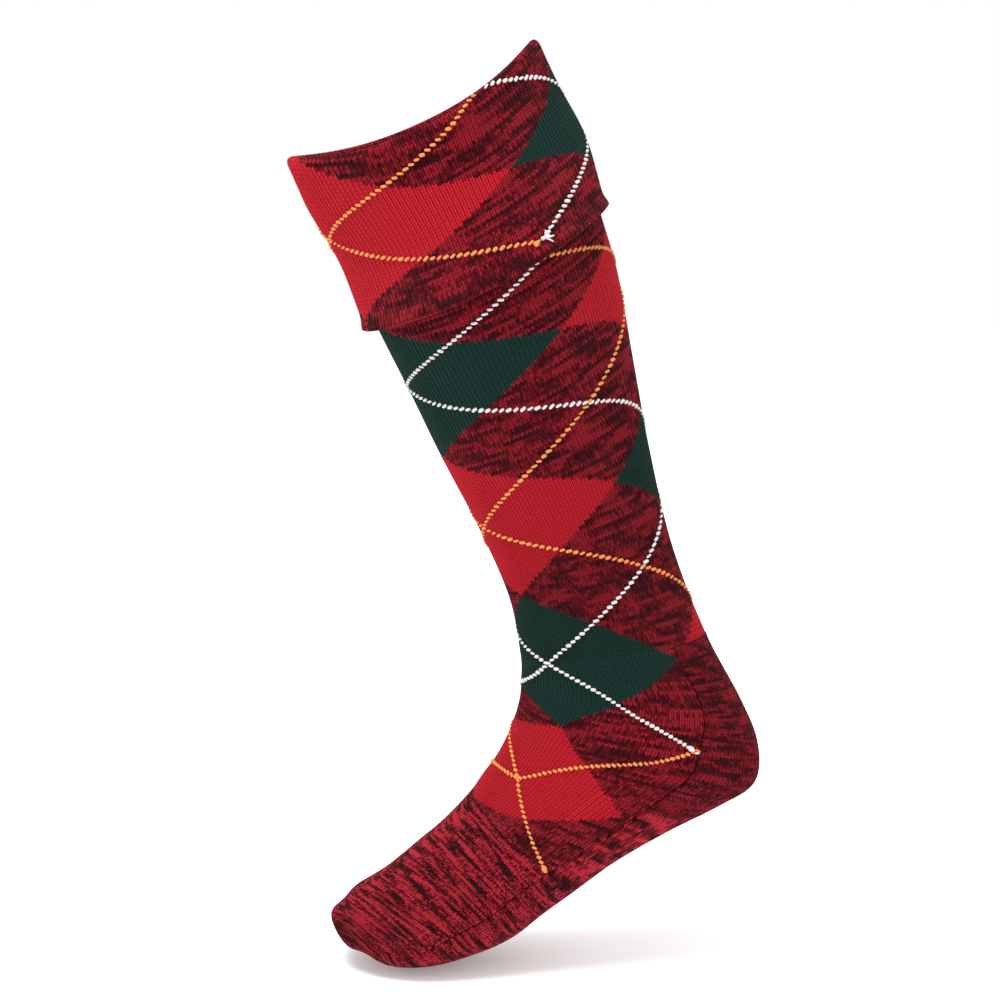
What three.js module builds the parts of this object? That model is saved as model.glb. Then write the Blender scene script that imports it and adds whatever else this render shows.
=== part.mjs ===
// Kilt hose sock: a knee-high knitted sock with a turned-over cuff, in the shape that it has on a raised foot.
// Millimetres and degrees, +Z up. The toe points along -X and the near side of the sock is -Y.
// The origin is the middle of the leg mouth, where the leg goes in.
import * as THREE from 'three';

// The knit and its joins
const wall = 2.2;
const seamGap = 0.3;

// Leg: its length from the mouth to the ankle, and how far its line leans from upright
const legLength = 302;
const legLean = 20;
const sideSag = 15.5;

// Turned-over cuff
const cuffHeight = 88;
const cuffFlare = 3.4;
const foldRise = 2.6;

// Foot: its length from the heel corner to the toe tip, and how far the sole drops below level
const footLength = 231;
const footSlope = 31;
const turnReach = 67;

// Depth runs from the front line to the back line, or from the instep to the sole. Width runs from side to side.
const mouthDepth = 136.5;
const mouthWidth = 94;
const calfDepth = 128.5;
const calfWidth = 116;
const ankleDepth = 89;
const ankleWidth = 66;
const heelDepth = 131.5;
const heelWidth = 63;
const instepDepth = 75.5;
const instepWidth = 72;
const ballDepth = 60.5;
const ballWidth = 88;
const toeDepth = 32;
const toeWidth = 62;

// The sections that the rows below are blended from. Pinch above 1 draws the front and back to an edge, flat below 1
// squares the back or sole side, and egg widens the section toward the back or the sole.
const sections = {
  mouth: { depth: mouthDepth, width: mouthWidth, pinch: 1.3, flat: 1, egg: 0 },
  calf: { depth: calfDepth, width: calfWidth, pinch: 1.05, flat: 1, egg: 0.08 },
  ankle: { depth: ankleDepth, width: ankleWidth, pinch: 1, flat: 1, egg: -0.08 },
  heel: { depth: heelDepth, width: heelWidth, pinch: 0.94, flat: 0.92, egg: 0 },
  instep: { depth: instepDepth, width: instepWidth, pinch: 1, flat: 0.86, egg: 0.06 },
  ball: { depth: ballDepth, width: ballWidth, pinch: 0.95, flat: 0.78, egg: 0.1 },
  toe: { depth: toeDepth, width: toeWidth, pinch: 0.9, flat: 0.8, egg: 0.06 },
};

// Rings down the leg. down: share of legLength; tilt: degrees that the back of the ring rises above square to the
// leg; forward: share of the ring's depth; sag: share of sideSag by which the ring's sides hang; like: its blend.
const legRows = [
  { down: 0.015, tilt: 5.5, forward: 0.012, sag: 1, seam: 128, like: { mouth: 0.95, calf: 0.05 } },
  { down: 0.09, tilt: 5.5, forward: -0.004, sag: 0.9, seam: 128, like: { mouth: 1 } },
  { down: 0.19, tilt: 7, forward: -0.044, sag: 0.65, seam: 128, like: { mouth: 0.65, calf: 0.35 } },
  { down: 0.31, tilt: 7.8, forward: -0.042, sag: 0.4, seam: 128, like: { calf: 1 } },
  { down: 0.425, tilt: 9.5, forward: -0.052, sag: 0.35, seam: 128, like: { calf: 0.86, ankle: 0.14 } },
  { down: 0.565, tilt: 8, forward: -0.042, sag: 0.2, seam: 128, like: { calf: 0.56, ankle: 0.44 } },
  { down: 0.715, tilt: 3.5, forward: -0.033, sag: 0, seam: 128, like: { calf: 0.2, ankle: 0.8 } },
  { down: 0.865, tilt: -2.5, forward: -0.018, sag: 0, seam: 128, like: { ankle: 1 } },
  { down: 1, tilt: -13, forward: 0.004, sag: 0, seam: 128, like: { ankle: 0.8, heel: 0.2 } },
];

// Rings that fan round the heel. turn: share of the turn from the last leg ring to square across the foot; reach:
// share of turnReach from the fan's centre to the instep; seam: degrees round from the front line to the side seam.
const heelRows = [
  { turn: 0.18, reach: 1, seam: 127, like: { ankle: 0.37, heel: 0.63 } },
  { turn: 0.28, reach: 1.01, seam: 118, like: { ankle: 0.09, heel: 0.91 } },
  { turn: 0.37, reach: 1.015, seam: 114, like: { heel: 1 } },
  { turn: 0.45, reach: 1.02, seam: 114, like: { heel: 0.77, instep: 0.23 } },
  { turn: 0.57, reach: 1.035, seam: 116, like: { heel: 0.43, instep: 0.57 } },
  { turn: 0.73, reach: 1.065, seam: 115, like: { heel: 0.16, instep: 0.84 } },
  { turn: 0.88, reach: 1.1, seam: 110, like: { heel: 0.06, instep: 0.94 } },
  { turn: 1, reach: 1.16, seam: 107, like: { instep: 1 } },
];

// Rings along the foot. along: share of the length from the arch to the toe tip; lift: share of instepDepth by which
// the sole rises off its line. The last rings shrink to close the toe.
const footRows = [
  { along: 0.2, lift: -0.03, seam: 105, like: { instep: 0.75, ball: 0.25 } },
  { along: 0.385, lift: 0, seam: 103, like: { instep: 0.435, ball: 0.55 } },
  { along: 0.62, lift: 0.09, seam: 106, like: { ball: 0.915 } },
  { along: 0.815, lift: 0.23, seam: 113, like: { ball: 0.54, toe: 0.36 } },
  { along: 0.91, lift: 0.405, seam: 116, like: { toe: 0.88 } },
  { along: 0.98, lift: 0.54, seam: 116, like: { toe: 0.58 } },
  { along: 0.995, lift: 0.745, seam: 116, like: { toe: 0.02 } },
];

// Where one piece ends and the next begins, counted in rows, and how finely the pieces are cut
const legEnd = legRows.length - 1;
const heelEnd = legEnd + 4.6;
const toeStart = legEnd + heelRows.length + 3.3;
const toePole = legEnd + heelRows.length + footRows.length;
const legRings = 20;
const cuffRings = 10;
const foldSteps = 5;
const heelRings = 12;
const soleRings = 15;
const toeRings = 8;
const toeLastRing = 0.985;
const aroundLeg = 40;
const aroundInstep = 22;
const aroundBack = 14;

const degrees = Math.PI / 180;
const up = (angle) => new THREE.Vector2(-Math.sin(angle * degrees), Math.cos(angle * degrees));
const out = (angle) => new THREE.Vector2(Math.cos(angle * degrees), Math.sin(angle * degrees));

// One section from its shares: the depth and width add up, and the shape numbers are averaged
function blend(like) {
  const section = { depth: 0, width: 0, pinch: 0, flat: 0, egg: 0 };
  const total = Object.values(like).reduce((sum, share) => sum + share, 0);
  for (const [name, share] of Object.entries(like)) {
    section.depth += share * sections[name].depth;
    section.width += share * sections[name].width;
    for (const shape of ['pinch', 'flat', 'egg']) section[shape] += (share / total) * sections[name][shape];
  }
  return section;
}

// A ring stands between its front point and its back point in the middle plane of the sock (x, z)
function ringFrom(front, direction, row) {
  const section = blend(row.like);
  const back = front.clone().addScaledVector(out(direction), section.depth);
  return { frontX: front.x, frontZ: front.y, backX: back.x, backZ: back.y, halfWidth: section.width / 2,
    pinch: section.pinch, flat: section.flat, egg: section.egg, sag: sideSag * (row.sag ?? 0), seam: row.seam };
}

function legRing(row) {
  const direction = legLean + row.tilt;
  const depth = blend(row.like).depth;
  const middle = up(legLean).multiplyScalar(-row.down * legLength);
  middle.addScaledVector(out(legLean), -row.forward * depth);
  return ringFrom(middle.addScaledVector(out(direction), -depth / 2), direction, row);
}

// The fan's centre lies in front of the ankle, in line with the last leg ring
function heelFan(lastLegRing) {
  const start = legLean + legRows[legEnd].tilt;
  const end = footSlope - 90;
  const centre = new THREE.Vector2(lastLegRing.frontX, lastLegRing.frontZ).addScaledVector(out(start), -turnReach);
  return heelRows.map((row) => {
    const direction = start + row.turn * (end - start);
    return ringFrom(centre.clone().addScaledVector(out(direction), row.reach * turnReach), direction, row);
  });
}

function footRings(fan) {
  const toToe = out(footSlope).multiplyScalar(-1);
  const toTop = up(footSlope);
  const arch = new THREE.Vector2(fan.at(-1).backX, fan.at(-1).backZ);
  const heelCorner = fan[heelRows.findIndex((row) => row.like.heel === 1)];
  const behindArch = arch.clone().sub(new THREE.Vector2(heelCorner.backX, heelCorner.backZ)).dot(toToe);
  return footRows.map((row) => {
    const sole = arch.clone().addScaledVector(toToe, row.along * (footLength - behindArch));
    sole.addScaledVector(toTop, row.lift * instepDepth);
    return ringFrom(sole.addScaledVector(toTop, blend(row.like).depth), footSlope - 90, row);
  });
}

const legPart = legRows.map(legRing);
const fanPart = heelFan(legPart.at(-1));
const rings = [...legPart, ...fanPart, ...footRings(fanPart)];

// A value between rows, on a smooth curve through the rows on both sides
function smooth(before, low, high, after, share) {
  const slopeLow = (high - before) / 2;
  const slopeHigh = (after - low) / 2;
  const bend = 3 * (high - low) - 2 * slopeLow - slopeHigh;
  const twist = 2 * (low - high) + slopeLow + slopeHigh;
  return low + share * (slopeLow + share * (bend + share * twist));
}

function ringAt(level) {
  const low = Math.min(Math.max(Math.floor(level), 0), rings.length - 2);
  const four = [low - 1, low, low + 1, low + 2].map((i) => rings[Math.min(Math.max(i, 0), rings.length - 1)]);
  const ring = {};
  for (const key of Object.keys(rings[0])) {
    ring[key] = smooth(...four.map((known) => known[key]), level - low);
  }
  return ring;
}

// A point of the outer skin. level counts rows from the mouth to the toe. around is in radians, from the front line
// over the near side to the back line.
function skin(level, around) {
  const ring = ringAt(level);
  const cosine = Math.cos(around);
  const backward = cosine < 0 ? Math.pow(-cosine, ring.flat) : -cosine;
  const sideways = Math.pow(Math.abs(Math.sin(around)), Math.max(ring.pinch, 0.5)) * Math.sign(Math.sin(around));
  const front = new THREE.Vector2(ring.frontX, ring.frontZ);
  const half = new THREE.Vector2(ring.backX, ring.backZ).sub(front).multiplyScalar(0.5);
  const drop = new THREE.Vector2(half.y, -half.x).normalize().multiplyScalar(ring.sag * Math.sin(around) ** 2);
  const place = front.add(half).addScaledVector(half, backward).add(drop);
  return new THREE.Vector3(place.x, -ring.halfWidth * sideways * (1 + ring.egg * backward), place.y);
}

// Unit vectors at a point of the skin: out of the sock, and toward the mouth
const nudge = 0.01;
function across(level, around) {
  const edge = Math.min(level, toePole - 2 * nudge);
  const toMouth = skin(edge - nudge, around).sub(skin(edge + nudge, around));
  const roundabout = skin(edge, around + nudge).sub(skin(edge, around - nudge));
  return { outward: roundabout.cross(toMouth).normalize(), toMouth: toMouth.normalize() };
}

function offsetSkin(level, around, distance) {
  return skin(level, around).addScaledVector(across(level, around).outward, distance);
}

// The level that lies a distance further along the skin, and the angle that lies a distance further round it
function shiftLevel(level, around, distance) {
  const pace = skin(level + nudge, around).distanceTo(skin(level - nudge, around)) / (2 * nudge);
  return level + distance / pace;
}

function shiftAround(level, around, distance) {
  const pace = skin(level, around + nudge).distanceTo(skin(level, around - nudge)) / (2 * nudge);
  return around + distance / pace;
}

// The level at a distance down the leg from the mouth
function legLevel(distance) {
  const share = legRows[0].down + distance / legLength;
  const low = Math.max(legRows.findLastIndex((row) => row.down <= share), 0);
  const high = Math.min(low + 1, legEnd);
  const step = legRows[high].down - legRows[low].down;
  return step > 0 ? low + (share - legRows[low].down) / step : low;
}

// A closed geometry from its points and triangles, turned so that its faces point out
function closedBody(points, triangles) {
  let volume = 0;
  for (const [a, b, c] of triangles) volume += points[a].dot(points[b].clone().cross(points[c]));
  const index = triangles.flatMap(([a, b, c]) => (volume > 0 ? [a, b, c] : [a, c, b]));
  const geometry = new THREE.BufferGeometry().setFromPoints(points);
  geometry.setIndex(index);
  geometry.computeVertexNormals();
  return geometry;
}

// A knitted wall between two skins, each a list of rows of points. wrap joins each row's end to its start, and
// caps, one point for each skin, closes both skins past the last row.
function knitWall(outer, inner, { wrap = false, caps = null } = {}) {
  const columns = outer[0].length;
  const points = [...outer.flat(), ...inner.flat()];
  const insideStart = outer.length * columns;
  const steps = wrap ? columns : columns - 1;
  const triangles = [];
  const quad = (a, b, c, d) => triangles.push([a, b, c], [a, c, d]);
  const at = (row, column) => row * columns + (column % columns);
  for (let row = 0; row < outer.length - 1; row += 1) {
    for (let column = 0; column < steps; column += 1) {
      const corners = [at(row, column), at(row + 1, column), at(row + 1, column + 1), at(row, column + 1)];
      quad(...corners);
      quad(...corners.map((corner) => corner + insideStart).reverse());
    }
  }
  const rim = (path) => path.forEach((here, step) => {
    const next = path[(step + 1) % path.length];
    quad(here, next, next + insideStart, here + insideStart);
  });
  const rowPath = (row) => outer[row].map((_, column) => at(row, column));
  const last = outer.length - 1;
  if (wrap) {
    rim(rowPath(0));
    if (caps) {
      const poles = points.push(...caps) - caps.length;
      for (let column = 0; column < columns; column += 1) {
        triangles.push([at(last, column), poles, at(last, column + 1)]);
        triangles.push([at(last, column + 1) + insideStart, poles + 1, at(last, column) + insideStart]);
      }
    } else {
      rim(rowPath(last).reverse());
    }
  } else {
    const rightSide = outer.map((_, row) => at(row, columns - 1));
    const leftSide = outer.map((_, row) => at(row, 0));
    rim([...rowPath(0), ...rightSide.slice(1), ...rowPath(last).reverse().slice(1), ...leftSide.reverse().slice(1, -1)]);
  }
  return closedBody(points, triangles);
}

const mix = (from, to, share) => from + (to - from) * share;
const fullTurn = 2 * Math.PI;
const evenLevels = (from, to, count) => Array.from({ length: count + 1 }, (_, i) => mix(from, to, i / count));

// A wall laid on the skin in rows of points: placed(level, share) gives the level and the angle of a point
function wallOnSkin(levels, aroundCount, placed, options = {}) {
  const columns = options.wrap ? aroundCount : aroundCount + 1;
  const grid = (distance) => levels.map((wanted) => Array.from({ length: columns }, (_, j) => {
    const { level, around } = placed(wanted, j / aroundCount);
    return offsetSkin(level, around, distance);
  }));
  return knitWall(grid(0), grid(-wall), options);
}

// A level drawn back half a gap from the two ends of its piece
function clearOfEnds(level, levels, around) {
  if (level === levels[0]) return shiftLevel(level, around, seamGap / 2);
  return level === levels.at(-1) ? shiftLevel(level, around, -seamGap / 2) : level;
}

// Leg: the whole tube, from under the fold to the ankle
function legTube() {
  const levels = evenLevels(0, legEnd, legRings);
  return wallOnSkin(levels, aroundLeg, (wanted, share) => {
    const around = share * fullTurn;
    return { level: wanted > 0 ? clearOfEnds(wanted, levels, around) : wanted, around };
  }, { wrap: true });
}

// A panel of the foot between two side seams, half a gap short of its neighbours on every side
function footPanel(levels, aroundCount, sideFrom, sideTo) {
  return wallOnSkin(levels, aroundCount, (wanted, share) => {
    const from = shiftAround(wanted, sideFrom(wanted), seamGap / 2);
    const to = shiftAround(wanted, sideTo(wanted), -seamGap / 2);
    const around = mix(from, to, share);
    return { level: clearOfEnds(wanted, levels, around), around };
  });
}

const nearSeam = (level) => ringAt(level).seam * degrees;
const farSeam = (level) => fullTurn - nearSeam(level);
const heelLevels = evenLevels(legEnd, heelEnd, heelRings);
const soleLevels = evenLevels(heelEnd, toeStart, soleRings);

function instepPanel() {
  const levels = [...heelLevels, ...soleLevels.slice(1)];
  return footPanel(levels, aroundInstep, (level) => -nearSeam(level), nearSeam);
}

function heelCup() {
  return footPanel(heelLevels, aroundBack, nearSeam, farSeam);
}

function solePanel() {
  return footPanel(soleLevels, aroundBack, nearSeam, farSeam);
}

// Toe: a cap whose rings crowd together toward the tip
function toeCap() {
  const tip = skin(toePole, 0).add(skin(toePole, Math.PI)).multiplyScalar(0.5);
  const inward = out(footSlope).multiplyScalar(wall);
  const inner = tip.clone().add(new THREE.Vector3(inward.x, 0, inward.y));
  const lastRing = mix(toeStart, toePole, toeLastRing);
  const levels = evenLevels(0, 1, toeRings).map((share) => mix(toeStart, lastRing, Math.sin(share * Math.PI / 2)));
  return wallOnSkin(levels, aroundLeg, (wanted, share) => {
    const around = share * fullTurn;
    return { level: wanted < lastRing ? clearOfEnds(wanted, levels, around) : wanted, around };
  }, { wrap: true, caps: [tip, inner] });
}

// Cuff: a band that hangs outside the leg from the fold to the hem. The fold covers the top of the leg's wall.
function cuffBand() {
  const hem = legLevel(cuffHeight);
  const ease = (share, around) => seamGap + cuffFlare * share ** 1.5 * (0.5 + 0.5 * Math.cos(around));
  const profile = (around) => {
    const hanging = Array.from({ length: cuffRings + 1 }, (_, i) => 1 - i / cuffRings);
    const outside = hanging.map((share) => offsetSkin(hem * share, around, ease(share, around) + wall));
    const inside = hanging.map((share) => offsetSkin(hem * share, around, ease(share, around)));
    const { outward, toMouth } = across(0, around);
    const foldHalf = (ease(0, around) + 2 * wall) / 2;
    const foldMiddle = skin(0, around).addScaledVector(outward, foldHalf - wall);
    const fold = Array.from({ length: foldSteps }, (_, step) => {
      const turned = (Math.PI * (step + 1)) / (foldSteps + 1);
      const place = foldMiddle.clone().addScaledVector(outward, foldHalf * Math.cos(turned));
      return place.addScaledVector(toMouth, seamGap + (foldHalf + foldRise) * Math.sin(turned));
    });
    const lip = offsetSkin(0, around, -wall).addScaledVector(toMouth, seamGap);
    const lipRoot = skin(0, around).addScaledVector(outward, seamGap).addScaledVector(toMouth, seamGap);
    return [...outside, ...fold, lip, lipRoot, ...inside.slice(0, -1).reverse()];
  };
  const loops = Array.from({ length: aroundLeg }, (_, j) => profile((j / aroundLeg) * fullTurn));
  const length = loops[0].length;
  const triangles = [];
  for (let j = 0; j < aroundLeg; j += 1) {
    for (let k = 0; k < length; k += 1) {
      const [a, b] = [j * length + k, j * length + ((k + 1) % length)];
      const [c, d] = [a, b].map((index) => (index + length) % (aroundLeg * length));
      triangles.push([a, b, d], [a, d, c]);
    }
  }
  return closedBody(loops.flat(), triangles);
}

// The knits: argyle and marl are one soft matt yarn in several colours
const marlRed = 0x8c1c2a;
const diamondRed = 0xb81f2e;
const footMarl = 0x7a1826;
const knitRoughness = 0.92;

function knitted(name, geometry, colour) {
  const material = new THREE.MeshStandardMaterial({ color: colour, roughness: knitRoughness, metalness: 0 });
  const mesh = new THREE.Mesh(geometry, material);
  mesh.name = name;
  return mesh;
}

const group = new THREE.Group();
group.name = 'kilt_hose_sock';
group.add(
  knitted('leg', legTube(), marlRed),
  knitted('cuff', cuffBand(), diamondRed),
  knitted('instep', instepPanel(), diamondRed),
  knitted('heel', heelCup(), footMarl),
  knitted('sole', solePanel(), footMarl),
  knitted('toe', toeCap(), footMarl),
);

export default group;
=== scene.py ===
# %% [markdown]
# # A knitted kilt hose sock
# A kilt hose is a knee-high sock of wool blend with a deep turned-over cuff. It is knitted flat or in the
# round from several yarns at once: red and dark green diamonds lie on a marl ground, a yarn that changes
# from red to near-black, and thin lines of white and gold stitches cross over the diamonds. This lesson
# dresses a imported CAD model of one, which says where every piece lies.

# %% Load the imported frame
import math

import bpy
import numpy as np
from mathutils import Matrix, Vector


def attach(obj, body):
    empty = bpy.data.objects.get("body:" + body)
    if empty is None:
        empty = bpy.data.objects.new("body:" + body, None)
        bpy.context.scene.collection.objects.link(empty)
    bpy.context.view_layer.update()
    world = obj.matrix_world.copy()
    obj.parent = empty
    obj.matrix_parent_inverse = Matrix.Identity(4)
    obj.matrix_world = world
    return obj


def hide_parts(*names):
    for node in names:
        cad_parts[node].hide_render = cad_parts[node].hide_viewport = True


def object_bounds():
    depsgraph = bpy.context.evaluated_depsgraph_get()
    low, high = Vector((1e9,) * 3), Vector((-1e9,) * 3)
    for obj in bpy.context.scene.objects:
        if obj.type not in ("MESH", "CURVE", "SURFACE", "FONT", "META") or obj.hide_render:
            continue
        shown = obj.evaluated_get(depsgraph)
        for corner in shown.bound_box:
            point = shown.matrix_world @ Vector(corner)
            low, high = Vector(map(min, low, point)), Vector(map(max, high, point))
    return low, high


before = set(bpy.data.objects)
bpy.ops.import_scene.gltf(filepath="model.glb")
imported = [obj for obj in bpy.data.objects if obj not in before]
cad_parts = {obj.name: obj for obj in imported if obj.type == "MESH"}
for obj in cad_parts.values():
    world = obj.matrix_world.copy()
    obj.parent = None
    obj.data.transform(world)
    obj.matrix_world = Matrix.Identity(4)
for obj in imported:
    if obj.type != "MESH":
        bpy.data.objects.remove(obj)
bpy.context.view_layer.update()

# %% [markdown]
# ## The camera
# The sock was photographed from its near side, a little above the middle, with a long lens. A camera far
# away and tilted a little down gives the same small amount of foreshortening. It is made first, so that
# every later piece can be looked at from the right place.

# %% Make the camera
MM = 0.001
SENSOR_MM = 36.0
CAMERA_DISTANCE = 1400 * MM
CAMERA_PITCH = math.radians(10)
PHOTO_WIDTH = 520 * MM
LOOKS_AT = Vector((43.57, 0, -207.33)) * MM
CLIP_START, CLIP_END = 0.05, 20


def make_camera():
    """A camera that looks along +Y and down by CAMERA_PITCH at LOOKS_AT, and sees PHOTO_WIDTH there."""
    camera = bpy.data.objects.new("camera", bpy.data.cameras.new("camera"))
    bpy.context.scene.collection.objects.link(camera)
    camera.data.sensor_width = SENSOR_MM
    camera.data.lens = SENSOR_MM * CAMERA_DISTANCE / PHOTO_WIDTH
    camera.data.clip_start = CLIP_START
    camera.data.clip_end = CLIP_END
    back = Vector((0, -math.cos(CAMERA_PITCH), math.sin(CAMERA_PITCH)))
    camera.location = LOOKS_AT + back * CAMERA_DISTANCE
    camera.rotation_euler = (math.pi / 2 - CAMERA_PITCH, 0, 0)
    bpy.context.scene.camera = camera
    return camera


camera = make_camera()
print("lens in mm:", round(camera.data.lens, 2))

# %% [markdown]
# ## The sock's sections
# A worn sock is a tube whose section changes from the calf to the toe. The CAD model blends its rings from
# seven named sections, and the looks repeat those sizes and rows, so that each knitted piece lies where its
# CAD node lies. Only the fold and the last two rings of the toe differ, by up to two and a half
# millimetres, to come closer to the real sock's outline. Depth runs from front to back, and width from side
# to side. Pinch draws the front and back to an edge, flat squares the back, and egg widens the back.

# %% Sizes and sections
WALL = 2.2 * MM
SEAM_GAP = 0.3 * MM
LEG_LENGTH = 302 * MM
LEG_LEAN = 20
SIDE_SAG = 15.5 * MM
CUFF_FLARE = 3.4 * MM
FOLD_RISE = 1.7 * MM
FOOT_LENGTH = 231 * MM
FOOT_SLOPE = 31
TURN_REACH = 67 * MM

SECTIONS = {  # depth and width in millimetres, then pinch, flat and egg
    "mouth": (136.5, 94, 1.3, 1, 0),
    "calf": (128.5, 116, 1.05, 1, 0.08),
    "ankle": (89, 66, 1, 1, -0.08),
    "heel": (131.5, 63, 0.94, 0.92, 0),
    "instep": (75.5, 72, 1, 0.86, 0.06),
    "ball": (60.5, 88, 0.95, 0.78, 0.1),
    "toe": (32, 62, 0.9, 0.8, 0.06),
}
LEG_ROWS = [  # down, tilt, forward, sag, seam, blend
    (0.015, 5.5, 0.012, 1, 128, {"mouth": 0.95, "calf": 0.05}),
    (0.09, 5.5, -0.004, 0.9, 128, {"mouth": 1}),
    (0.19, 7, -0.044, 0.65, 128, {"mouth": 0.65, "calf": 0.35}),
    (0.31, 7.8, -0.042, 0.4, 128, {"calf": 1}),
    (0.425, 9.5, -0.052, 0.35, 128, {"calf": 0.86, "ankle": 0.14}),
    (0.565, 8, -0.042, 0.2, 128, {"calf": 0.56, "ankle": 0.44}),
    (0.715, 3.5, -0.033, 0, 128, {"calf": 0.2, "ankle": 0.8}),
    (0.865, -2.5, -0.018, 0, 128, {"ankle": 1}),
    (1, -13, 0.004, 0, 128, {"ankle": 0.8, "heel": 0.2}),
]
HEEL_ROWS = [  # turn, reach, seam, blend
    (0.18, 1, 127, {"ankle": 0.37, "heel": 0.63}),
    (0.28, 1.01, 118, {"ankle": 0.09, "heel": 0.91}),
    (0.37, 1.015, 114, {"heel": 1}),
    (0.45, 1.02, 114, {"heel": 0.77, "instep": 0.23}),
    (0.57, 1.035, 116, {"heel": 0.43, "instep": 0.57}),
    (0.73, 1.065, 115, {"heel": 0.16, "instep": 0.84}),
    (0.88, 1.1, 110, {"heel": 0.06, "instep": 0.94}),
    (1, 1.16, 107, {"instep": 1}),
]
FOOT_ROWS = [  # along, lift, seam, blend
    (0.2, -0.03, 105, {"instep": 0.75, "ball": 0.25}),
    (0.385, 0, 103, {"instep": 0.435, "ball": 0.55}),
    (0.62, 0.09, 106, {"ball": 0.915}),
    (0.815, 0.23, 113, {"ball": 0.54, "toe": 0.36}),
    (0.91, 0.405, 116, {"toe": 0.88}),
    (0.985, 0.515, 116, {"toe": 0.58}),
    (1.003, 0.725, 116, {"toe": 0.02}),
]
LEG_END = len(LEG_ROWS) - 1
HEEL_END = LEG_END + 4.6
TOE_START = LEG_END + len(HEEL_ROWS) + 3.3
TOE_POLE = LEG_END + len(HEEL_ROWS) + len(FOOT_ROWS)

# %% Rings from the rows


def up(angle):
    """Unit vector (x, z) that stands square to a line at an angle in degrees."""
    return np.array([-math.sin(math.radians(angle)), math.cos(math.radians(angle))])


def out(angle):
    """Unit vector (x, z) along a line at an angle in degrees."""
    return np.array([math.cos(math.radians(angle)), math.sin(math.radians(angle))])


def blend(like):
    """Depth and width added up by share, in metres, and the averages of pinch, flat and egg."""
    parts = np.array([SECTIONS[name] for name in like])
    shares = np.array(list(like.values()))
    sizes = (parts[:, :2] * shares[:, None]).sum(0) * MM
    return [*sizes, *(parts[:, 2:] * shares[:, None]).sum(0) / shares.sum()]


def ring(front, direction, like, sag, seam):
    """A ring's front and back point, half width, pinch, flat, egg, side sag and seam angle."""
    depth, width, pinch, flat, egg = blend(like)
    back = front + out(direction) * depth
    return [*front, *back, width / 2, pinch, flat, egg, sag * SIDE_SAG, seam]


def leg_rings():
    """Rings down the leaning leg, each turned by its tilt and moved by its share of depth."""
    made = []
    for down, tilt, forward, sag, seam, like in LEG_ROWS:
        depth = blend(like)[0]
        middle = -up(LEG_LEAN) * down * LEG_LENGTH - out(LEG_LEAN) * forward * depth
        direction = LEG_LEAN + tilt
        made.append(ring(middle - out(direction) * depth / 2, direction, like, sag, seam))
    return made


def heel_rings(last_leg_ring):
    """Rings that fan round a centre in front of the ankle, till they stand square across the foot."""
    start = LEG_LEAN + LEG_ROWS[-1][1]
    end = FOOT_SLOPE - 90
    centre = np.array(last_leg_ring[:2]) - out(start) * TURN_REACH
    turns = [start + row[0] * (end - start) for row in HEEL_ROWS]
    return [ring(centre + out(direction) * row[1] * TURN_REACH, direction, row[3], 0, row[2])
            for direction, row in zip(turns, HEEL_ROWS)]


def foot_rings(fan):
    """Rings square to the foot's line, from the arch to the closed toe."""
    to_toe = -out(FOOT_SLOPE)
    to_top = up(FOOT_SLOPE)
    arch = np.array(fan[-1][2:4])
    corner = np.array(fan[[row[3] for row in HEEL_ROWS].index({"heel": 1})][2:4])
    length = FOOT_LENGTH - (arch - corner) @ to_toe
    made = []
    for along, lift, seam, like in FOOT_ROWS:
        sole = arch + to_toe * along * length + to_top * lift * SECTIONS["instep"][0] * MM
        made.append(ring(sole + to_top * blend(like)[0], FOOT_SLOPE - 90, like, 0, seam))
    return made


leg_part = leg_rings()
heel_part = heel_rings(leg_part[-1])
RINGS = np.array([*leg_part, *heel_part, *foot_rings(heel_part)])
print("rings from mouth to toe:", len(RINGS))

# %% [markdown]
# ## The skin as a function of two parameters
# Every piece is laid on one surface. Its first parameter is the level, which counts rings from the mouth to
# the toe, and its second is the angle around, from the front line over the near side to the back. Between
# the rings the sizes follow smooth curves, so any fine grid of levels and angles gives a smooth tube.

# %% The skin
LEAST_PINCH = 0.5
TINY = 1e-12
NUDGE = 0.01


def smooth_rows(table, position):
    """Rows of a table at any positions, on Catmull-Rom curves through its rows, with flat ends."""
    position = np.asarray(position, float)
    low = np.clip(np.floor(position).astype(int), 0, len(table) - 2)
    share = (position - low)[..., None]
    before, here, following, after = (table[np.clip(low + k, 0, len(table) - 1)] for k in (-1, 0, 1, 2))
    slope_here = (following - before) / 2
    slope_next = (after - here) / 2
    bend = 3 * (following - here) - 2 * slope_here - slope_next
    twist = 2 * (here - following) + slope_here + slope_next
    return here + share * (slope_here + share * (bend + share * twist))


def skin(level, around):
    """Points of the sock's outer face.

    A superellipse stands between the ring's front and back point. The cosine of the angle, to the power
    flat at the back, runs along the ring, and the sine, to the power pinch, runs sideways, wider at the
    back by egg. The sides hang down the leg by sag times the sine squared.
    """
    values = np.moveaxis(smooth_rows(RINGS, level), -1, 0)
    front_x, front_z, back_x, back_z, half_width, pinch, flat, egg, sag, _ = values
    cosine, sine = np.cos(around), np.sin(around)
    backward = np.where(cosine < 0, np.abs(cosine) ** flat, -cosine)
    sideways = np.abs(sine) ** np.maximum(pinch, LEAST_PINCH) * np.sign(sine)
    half_x, half_z = (back_x - front_x) / 2, (back_z - front_z) / 2
    size = np.hypot(half_x, half_z)
    drop = sag * sine ** 2
    x = front_x + half_x * (1 + backward) + half_z / size * drop
    z = front_z + half_z * (1 + backward) - half_x / size * drop
    return np.stack([x, -half_width * sideways * (1 + egg * backward), z], -1)


def unit(vectors):
    """The same directions with length one."""
    return vectors / np.maximum(np.linalg.norm(vectors, axis=-1, keepdims=True), TINY)


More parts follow.
